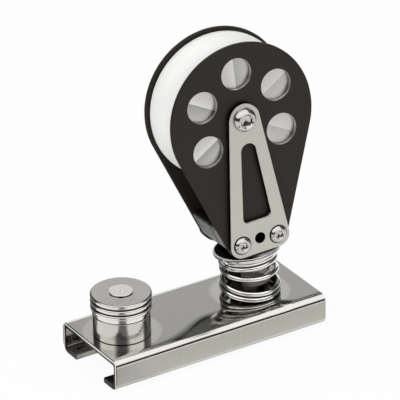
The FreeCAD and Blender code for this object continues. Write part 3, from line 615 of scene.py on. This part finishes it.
def painted_spoke_light(across, up):
    """Painted light and shade of six low pressed spokes, one behind the middle of each window; no spoke is in the
    shape.

    With t the turn from the nearest spoke in parts of 60 degrees, positive on the side that faces up and to
    the left, it is 0.92 + c * (0.3 * (1 - t / 0.3)^2 over the spoke, or -0.36 * (1 + t / 0.4)^1.5 under it),
    and c falls from the left of the wheel to its right.
    """
    direction = across.angle(up)
    turn = ((direction - WINDOW_ANGLES[1]) / (math.tau / 6) + 10.5).part() - 0.5
    right_half = (across * math.cos(WINDOW_ANGLES[1]) + up * math.sin(WINDOW_ANGLES[1])).step(-0.05, 0.05)
    turn = turn * (2.0 * right_half - 1.0)
    over = turn.step(-0.004, 0.004)
    lit = 0.30 * (1.0 - turn.most(0.0) / 0.30).most(0.0).power(2.0) * over
    shaded = 0.36 * (1.0 + turn.least(0.0) / 0.40).most(0.0).power(1.5) * (1.0 - over)
    contrast = 0.72 - 0.30 * across / radius_of(across, up)
    return 0.92 + contrast * (lit - shaded)


def painted_spoke_plate(finishes):
    """Flat turned disc with the painted light and shade of six low pressed spokes: each is painted brightest along
    one edge.
    """
    graph = Graph("spoked_side_plate")
    place = graph.place(BLOCK_FRAME)
    across, along, up = graph.split(place)
    grain = lathe_grain(graph, radius_of(across, up), along, DISC_PITCH)
    cloudy = graph.noise(place, 0.5, 3.0)
    light = painted_spoke_light(across, up) + 0.10 * (cloudy - 0.5) + 0.08 * (grain - 0.5)
    tint = graph.shade(finishes.side_plate, light)
    return graph.surface(base_color=tint, metallic=1.0, roughness=0.34 + (grain - 0.5) * 0.1,
                         normal=graph.bump(grain, 0.00001))


def strap_steel(finishes):
    """Satin face brushed along the strap, with painted shade on the cut walls, in the holes and in the screw seats.
    """
    graph = Graph("brushed_strap_steel")
    place = graph.place(BLOCK_FRAME)
    across, along, up = graph.split(place)
    wall = along.size().step(STRAP_FACE - 0.2, STRAP_FACE - 0.4)
    window_foot = across.size().step(STRAP_WINDOW_HALF_WIDTH + 0.5, STRAP_WINDOW_HALF_WIDTH)
    window_foot = window_foot * up.band(STRAP_WINDOW_FOOT, 0.6, 0.6)
    window_foot = window_foot * along.size().step(STRAP_FACE - 0.9, STRAP_FACE - 0.7)
    below = up + FOOT_SCREW_DROP
    seat = radius_of(across.size() - FOOT_SCREW_SPREAD, below).step(FOOT_SEAT_RADIUS + 0.2, FOOT_SEAT_RADIUS)
    seat = seat * along.size().step(STRAP_FACE - 0.05, STRAP_FACE - 0.15)
    grain = graph.noise(graph.place(BLOCK_FRAME, (8.0, 1.0, 0.4)), 1.0, 3.0, 0.6)
    cloudy = graph.noise(place, 0.3, 3.0)
    # Painted shade on the cut walls, the holes and the screw seats; the foot wall of the window is left bright.
    dark = (wall * (1.0 - window_foot)).most(seat)
    tint = graph.shade(finishes.strap, 0.82 + 0.12 * grain + 0.12 * cloudy)
    return graph.surface(base_color=graph.mix(dark, tint, finishes.seam), metallic=1.0 - window_foot * wall,
                         roughness=0.30 + (cloudy - 0.5) * 0.1, normal=graph.bump(grain, 0.00001))


def sawn_head(finishes):
    """Bare cast aluminium, mottled, with painted shade on the top, in the seam, in the cross hole and towards the
    foot.
    """
    graph = Graph("bare_head_aluminium")
    place = graph.place(BLOCK_FRAME)
    across, along, up = graph.split(place)
    blotch = graph.noise(place, 0.9, 4.0, 0.65)
    fine = graph.noise(place, 5.0, 3.0)
    top = up.step(HEAD_TOP - 1.9, HEAD_TOP - 0.3)
    seam = along.band(-SEAM_SHIFT, 0.5, 0.12)
    hole = radius_of(across, up + CROSS_HOLE_DROP).step(CROSS_HOLE_RADIUS + 0.1, CROSS_HOLE_RADIUS - 0.1)
    foot = up.step(HEAD_SHADE_TOP, HEAD_SHADE_TOP - 5.0) * 0.75
    # Painted shade on the top, in the seam, in the cross hole and towards the foot.
    dark = top.most(seam).most(hole).most(foot)
    tint = graph.mix(dark, graph.shade(finishes.head, 0.55 + 0.7 * blotch.step(0.3, 0.7)), finishes.seam)
    return graph.surface(base_color=tint, metallic=0.75, roughness=0.44 + (blotch - 0.5) * 0.2,
                         normal=graph.bump(blotch + fine * 0.3, 0.00004))


def white_plastic(finishes):
    """Smooth white plastic, faintly uneven."""
    graph = Graph("white_wheel_plastic")
    place = graph.place(BLOCK_FRAME)
    cloudy = graph.noise(place, 0.2, 3.0)
    fine = graph.noise(place, 2.5, 3.0)
    return graph.surface(base_color=graph.shade(finishes.wheel, 0.97 + 0.04 * cloudy),
                         roughness=0.38 + (fine - 0.5) * 0.1, normal=graph.bump(fine, 0.00001))


# Operators
class DressChannel(bpy.types.Operator):
    """Finish the folded plate of the car"""

    bl_idname = "track_car.dress_channel"
    bl_label = "Folded plate"

    def execute(self, context):
        dress(folded_sheet(context.scene.track_car_finishes), "slider_body")
        return {"FINISHED"}


class DressPlunger(bpy.types.Operator):
    """Finish the stop's housing, knob and pin"""

    bl_idname = "track_car.dress_plunger"
    bl_label = "Plunger stop"

    def execute(self, context):
        finishes = context.scene.track_car_finishes
        dress(housing_steel(finishes), "plunger_housing")
        dress(knob_steel(finishes), "plunger_knob")
        dress(stop_pin_steel(finishes), "plunger_pin")
        return {"FINISHED"}


class MakePlungerSpring(bpy.types.Operator):
    """Wind the plunger's spring"""

    bl_idname = "track_car.make_plunger_spring"
    bl_label = "Plunger spring"

    def execute(self, context):
        sizes = context.scene.track_car_plunger_spring
        path, ahead = plunger_coils(sizes)
        piece = sweep("plunger_spring_coils", path, *across_wire(ahead, UPWARD), sizes.wire_radius, 12)
        piece.data.materials.append(plain_metal("plunger_spring_steel", context.scene.track_car_finishes.wire, 0.2))
        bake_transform(piece)
        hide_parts("plunger_spring")
        return {"FINISHED"}


def plunger_coils(sizes, steps=32):
    """Path of the plunger spring's wire and its direction.

    Point(a) is (radius * cos(a), radius * sin(a), rise * a / (2 pi * turns)) over the spring's foot.
    """
    turn = np.linspace(0, math.tau * sizes.turns, steps * sizes.turns + 1)
    low = PLATE_TOP + sizes.foot + sizes.wire_radius
    high = PLATE_TOP + sizes.top - sizes.wire_radius
    climb = (high - low) / turn[-1]
    cosine, sine = sizes.coil_radius * np.cos(turn), sizes.coil_radius * np.sin(turn)
    path = np.stack([PLUNGER_X + cosine, sine, low + climb * turn], axis=-1)
    return path, unit(np.stack([-sine, cosine, np.full_like(turn, climb)], axis=-1))


def across_wire(ahead, axis):
    """Two directions square to the wire and to each other, the second near the coil's own axis."""
    binormal = unit(axis - ahead * (axis * ahead).sum(axis=1, keepdims=True))
    return np.cross(ahead, binormal), binormal


class DressUniversalJoint(bpy.types.Operator):
    """Finish the joint, stem, washer and nut inside and above the spring"""

    bl_idname = "track_car.dress_universal_joint"
    bl_label = "Universal joint"

    def execute(self, context):
        finishes = context.scene.track_car_finishes
        # The joint parts take the joint colour, a painted shade for their place inside the spring.
        dress(plain_metal("machined_joint_steel", finishes.joint, 0.3),
              "base_clevis", "toggle_block", "toggle_pin", "fork_pins", "stem_nut")
        dress(stem_steel(finishes), "swivel_stem")
        dress(washer_steel(finishes), "spring_washer")
        return {"FINISHED"}


class MakeStandUpSpring(bpy.types.Operator):
    """Wind the stand-up spring in two halves, split where it passes the pivot"""

    bl_idname = "track_car.make_stand_up_spring"
    bl_label = "Stand-up spring"

    def execute(self, context):
        sizes = context.scene.track_car_spring
        path, radial, binormal, split = stand_up_coils(sizes)
        steel = spring_wire(context.scene.track_car_finishes)
        foot = PIVOT.copy()
        foot[2] = PLATE_TOP
        top = PIVOT + STEM_AXIS * sizes.washer_height
        halves = (
            ("stand_up_spring_foot", slice(0, split + 1), "car", "toggle", foot, PIVOT),
            ("stand_up_spring_top", slice(split, None), "toggle", "stem", PIVOT, top),
        )
        for name, part, low_body, high_body, start, end in halves:
            piece = sweep(name, path[part], radial[part], binormal[part], sizes.wire_radius)
            piece.data.materials.append(steel)
            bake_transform(piece)
            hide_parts("stand_up_spring")
        return {"FINISHED"}


def stand_up_coils(sizes, steps=48):
    """Path of the stand-up spring's wire, with two directions square to it, and where it passes the pivot.

    The coils' axis is upright near the plate, an arc in the middle, and in line with the stem near
    the washer. The wire is a row of half circles whose ends lie in the plane of the lean, on
    alternate sides of that axis.
    """
    wire = sizes.wire_radius
    lean = math.acos(STEM_AXIS[2])
    downhill = unit(np.array([STEM_AXIS[0], STEM_AXIS[1], 0.0]))
    side = np.cross(UPWARD, downhill)
    pitch = 2 * wire + sizes.coil_gap
    joint_height, top_height = PIVOT[2] - PLATE_TOP, sizes.washer_height - sizes.seat_gap
    tangent = min(joint_height, top_height) - pitch - wire
    bend_radius = tangent / math.tan(lean / 2)
    bend_start = joint_height - tangent
    bend_end = bend_start + bend_radius * lean
    total = bend_end + top_height - tangent

    foot, top, rise = wire + sizes.seat_gap, total - wire, sizes.end_rise
    low = [foot, foot + rise, foot + pitch, foot + rise + pitch]
    high = [top - rise - pitch, top - pitch, top - rise, top]
    middle = sizes.middle_height
    along = np.array(low + [(low[-1] + middle) / 2, middle, (middle + high[0]) / 2] + high)
    tilt = np.clip((along - bend_start) / bend_radius, 0, lean)
    straight_foot = np.minimum(along, bend_start)
    straight_top = np.maximum(along - bend_end, 0)
    base = np.array([PIVOT[0], PIVOT[1], PLATE_TOP])
    centres = base + np.outer(straight_foot + bend_radius * np.sin(tilt), UPWARD)
    centres = centres + np.outer(bend_radius * (1 - np.cos(tilt)), downhill) + np.outer(straight_top, STEM_AXIS)
    outward = np.outer(np.cos(tilt), downhill) - np.outer(np.sin(tilt), UPWARD)
    radii = np.where(np.arange(len(along)) < len(low), sizes.foot_coil_radius, sizes.coil_radius)
    turns = (-1.0) ** np.arange(len(along))
    ends = centres + outward * (radii * turns)[:, None]

    # Half circles: middle + (start - middle) * cos(a) + heading * radius * sin(a)
    start, end = ends[:-1], ends[1:]
    middles = (start + end) / 2
    reach = start - middles
    circle = np.linalg.norm(reach, axis=1)
    heading = -side * turns[:-1, None] * circle[:, None]
    sweeps = np.full(len(start), math.pi)
    sweeps[-1] = sizes.last_turn
    angle = sweeps[:, None] * np.linspace(0, 1, steps, endpoint=False)[None]
    cosine, sine = np.cos(angle)[..., None], np.sin(angle)[..., None]
    path = middles[:, None] + reach[:, None] * cosine + heading[:, None] * sine
    ahead = heading[:, None] * cosine - reach[:, None] * sine
    axis_tilt = (tilt[:-1, None] + (tilt[1:] - tilt[:-1])[:, None] * angle / math.pi)[..., None]
    axis = UPWARD * np.cos(axis_tilt) + downhill * np.sin(axis_tilt)
    path, ahead, axis = (array.reshape(-1, 3) for array in (path, unit(ahead), axis))
    last = sizes.last_turn
    path = np.vstack([path, middles[-1] + reach[-1] * math.cos(last) + heading[-1] * math.sin(last)])
    ahead = np.vstack([ahead, unit(heading[-1] * math.cos(last) - reach[-1] * math.sin(last))])
    axis = np.vstack([axis, STEM_AXIS])
    radial, binormal = across_wire(ahead, axis)
    split = int(np.argmax(((path - PIVOT) * STEM_AXIS).sum(axis=1) > 0))
    return path, radial, binormal, split


class DressBlock(bpy.types.Operator):
    """Finish the cheeks, straps and head block"""

    bl_idname = "track_car.dress_block"
    bl_label = "Cheeks, straps and head"

    def execute(self, context):
        finishes = context.scene.track_car_finishes
        dress(black_coat(finishes), "front_cheek", "rear_cheek")
        dress(strap_steel(finishes), "front_strap", "rear_strap")
        dress(sawn_head(finishes), "head_block")
        return {"FINISHED"}


class DressWheel(bpy.types.Operator):
    """Finish the wheel, its side plates, bearing and axle"""

    bl_idname = "track_car.dress_wheel"
    bl_label = "Wheel and bearing"

    def execute(self, context):
        finishes = context.scene.track_car_finishes
        dress(white_plastic(finishes), "sheave")
        dress(painted_spoke_plate(finishes), "sheave_plate_front", "sheave_plate_rear")
        dress(plain_metal("bearing_steel", finishes.polished, 0.12), "bearing_balls", "inner_race", "axle")
        return {"FINISHED"}


class DressScrews(bpy.types.Operator):
    """Finish the button-head screws"""

    bl_idname = "track_car.dress_screws"
    bl_label = "Screws"

    def execute(self, context):
        steel = plain_metal("button_screw_steel", context.scene.track_car_finishes.screw, 0.16)
        dress(steel, "axle_screw_front", "axle_screw_rear", "front_head_screws", "rear_head_screws")
        return {"FINISHED"}


class SetStudio(bpy.types.Operator):
    """Set the floor, the light, the white background and the camera"""

    bl_idname = "track_car.set_studio"
    bl_label = "Studio"

    def execute(self, context):
        studio = context.scene.track_car_studio
        add_floor(studio)
        add_surround()
        add_lamps()
        set_world(context.scene)
        add_camera(context.scene, studio)
        context.scene.view_settings.view_transform = "Standard"
        return {"FINISHED"}


def seen_rays(graph):
    """1 for camera, glossy and transmission rays."""
    made = graph.node("ShaderNodeLightPath", output="Is Camera Ray")
    outputs = made.socket.node.outputs
    others = [Value(graph, outputs[name]) for name in ("Is Glossy Ray", "Is Transmission Ray")]
    return made.most(others[0]).most(others[1])


def studio_directions(graph, vector):
    """The vector itself, and how far it goes to the front and to the right of the studio."""
    return vector, *(
        graph.node("ShaderNodeVectorMath", {"operation": "DOT_PRODUCT"}, {0: vector, 1: towards}, output="Value")
        for towards in (TOWARDS_FRONT, TOWARDS_RIGHT))


def add_floor(studio, rows=12, spokes=96, gap=0.00005):
    """Round floor under the car, white to the camera and pale to the light.

    Points are (ring * cos(turn), ring * sin(turn), foot) on a grid of rings and turns. Two dark cloths lie on
    it that only polished metal sees: one to the left of the car and one in front of it.
    """
    foot = cad_box[0].z - gap
    rings = np.linspace(0.001, studio.floor_radius, rows)
    angles = np.linspace(0, math.tau, spokes, endpoint=False)
    x, y = np.outer(rings, np.cos(angles)), np.outer(rings, np.sin(angles))
    floor = round_sheet("studio_floor", np.stack([x, y, np.full_like(x, foot)], axis=-1), 0)
    graph = Graph("pale_floor")
    matt = graph.node("ShaderNodeBsdfDiffuse", inputs={"Color": tuple(studio.floor)})
    _, front, right = studio_directions(graph, graph.node("ShaderNodeTexCoord", output="Object"))
    cloth_left = front.step(0.014, 0.006) * right.step(-0.005, -0.02)
    cloth_front = right.band(-0.024, 0.008, 0.008) * front.step(0.02, 0.03)
    cloth_front = cloth_front * (0.12 + 0.75 * front.step(0.045, 0.055))
    glossy = graph.node("ShaderNodeLightPath", output="Is Glossy Ray")
    white = graph.node("ShaderNodeEmission", inputs={
        "Strength": 1.0 - glossy * (0.85 * cloth_left).most(cloth_front)})
    both = graph.node("ShaderNodeMixShader", inputs={0: seen_rays(graph) * 0.93, 1: matt, 2: white})
    graph.node("ShaderNodeOutputMaterial", inputs={"Surface": both})
    floor.data.materials.append(graph.owner)


def add_surround(radius=3.0, rows=40, spokes=96):
    """Dome of soft boxes and dark cloths that only polished metal sees.

    Points are radius * (cos(turn) * cos(rise), sin(turn) * cos(rise), sin(rise)) on a grid of turn and rise.
    Boxes and cloths are ranges of front, side and up, the parts of the direction from the car.
    """
    rise = np.linspace(-0.2, math.pi / 2 - 0.01, rows)
    turn = np.linspace(0, math.tau, spokes, endpoint=False)
    x, y = np.outer(np.cos(rise), np.cos(turn)), np.outer(np.cos(rise), np.sin(turn))
    z = np.repeat(np.sin(rise)[:, None], spokes, axis=1)
    dome = round_sheet("studio_surround", radius * np.stack([x, y, z], axis=-1), -1)
    graph = Graph("soft_boxes_and_cloths")
    place = graph.node("ShaderNodeTexCoord", output="Object")
    direction = graph.node("ShaderNodeVectorMath", {"operation": "NORMALIZE"}, {0: place})
    direction, front, right = studio_directions(graph, direction)
    up = graph.split(direction)[2]
    side = right.size()
    ahead = front.step(-0.45, -0.3)
    back = 1.0 - ahead

    # Cloths: low in front, a wedge over that, to both sides at the back, and high behind
    low = up.step(0.44, 0.36) * ahead
    wedge = (side + 1.7 * (up - 0.46)).step(0.50, 0.42) * front.step(0.2, 0.35)
    flanks = front.step(0.0, -0.15) * side.step(0.30, 0.42) * up.step(0.84, 0.74)
    behind = back * up.step(0.50, 0.58) * up.step(0.84, 0.78)
    cloths = low.most(wedge).most(flanks).most(behind)

    # Boxes: high in front, overhead, and low behind
    boxes = (ahead * up.step(0.40, 0.52)).most(up.step(0.80, 0.87)).most(back * up.step(0.41, 0.37))
    glow = graph.node("ShaderNodeEmission", inputs={"Strength": (0.55 + 0.85 * boxes) * (1.0 - 0.92 * cloths)})
    graph.node("ShaderNodeOutputMaterial", inputs={"Surface": glow})
    dome.data.materials.append(graph.owner)
    for ray in ("camera", "diffuse", "transmission", "volume_scatter", "shadow"):
        setattr(dome, f"visible_{ray}", False)


def add_lamps():
    """Soft lamps over the car and to both sides of the camera, aimed at it."""
    for name, place, width, watts in (
        ("overhead_lamp", (0.1, 0.1, 1.5), 1.2, 6.0),
        ("front_lamp", (0.6, -1.2, 1.0), 0.9, 4.0),
        ("left_lamp", (-1.4, -0.3, 0.7), 0.9, 7.5),
    ):
        data = bpy.data.lights.new(name, "AREA")
        data.size, data.energy = width, watts
        lamp = bpy.data.objects.new(name, data)
        lamp.location = place
        lamp.rotation_euler = Vector(place).to_track_quat("Z", "Y").to_euler()
        lamp.visible_glossy = False
        bpy.context.scene.collection.objects.link(lamp)


def set_world(scene):
    """White to what the camera, metal and glass see, and a plain level of light elsewhere."""
    graph = Graph("white_studio", "worlds")
    scene.world = graph.owner
    plain = 0.62
    glow = graph.node("ShaderNodeBackground", inputs={"Strength": plain + (1.0 - plain) * seen_rays(graph)})
    graph.node("ShaderNodeOutputWorld", inputs={"Surface": glow})


def add_camera(scene, studio):
    """Camera on a ball round its target, then turned a little about its own axis."""
    data = bpy.data.cameras.new("camera")
    data.sensor_width = 36.0
    data.lens = studio.focal_pixels * data.sensor_width / PICTURE_WIDTH
    data.clip_end = 10.0
    camera = bpy.data.objects.new("camera", data)
    turn, rise = studio.azimuth, studio.elevation
    back = Vector((math.sin(turn) * math.cos(rise), -math.cos(turn) * math.cos(rise), math.sin(rise)))
    right = (-back).cross(Vector(UPWARD)).normalized()
    level = Matrix((right, back.cross(right), back)).transposed().to_4x4()
    place = Matrix.Translation(Vector(studio.target) + back * studio.distance)
    camera.matrix_world = place @ level @ Matrix.Rotation(studio.roll, 4, "Z")
    scene.collection.objects.link(camera)
    scene.camera = camera


OPERATORS = (
    DressChannel, DressPlunger, MakePlungerSpring, DressUniversalJoint, MakeStandUpSpring, DressBlock, DressWheel,
    DressScrews, SetStudio,
)


class TrackCarPanel(bpy.types.Panel):
    """Lists what can be made and its sizes and colours"""

    bl_idname = "VIEW3D_PT_track_car"
    bl_label = "Track car"
    bl_space_type = "VIEW_3D"
    bl_region_type = "UI"
    bl_category = "Track car"

    def draw(self, context):
        layout = self.layout
        for group_name, group in GROUPS.items():
            box = layout.box()
            settings = getattr(context.scene, group_name)
            for name in group.__annotations__:
                box.prop(settings, name)
        for operator in OPERATORS:
            layout.operator(operator.bl_idname)


GROUPS = {
    "track_car_finishes": TrackCarFinishes,
    "track_car_spring": TrackCarSpring,
    "track_car_plunger_spring": TrackCarPlungerSpring,
    "track_car_studio": TrackCarStudio,
}


def register():
    for kind in (*GROUPS.values(), *OPERATORS, TrackCarPanel):
        bpy.utils.register_class(kind)
    for name, group in GROUPS.items():
        setattr(bpy.types.Scene, name, PointerProperty(type=group))


def unregister():
    for name in GROUPS:
        delattr(bpy.types.Scene, name)
    for kind in reversed((*GROUPS.values(), *OPERATORS, TrackCarPanel)):
        bpy.utils.unregister_class(kind)


def main():
    register()
    for operator in OPERATORS:
        family, name = operator.bl_idname.split(".")
        getattr(getattr(bpy.ops, family), name)()


if __name__ == "__main__":
    main()
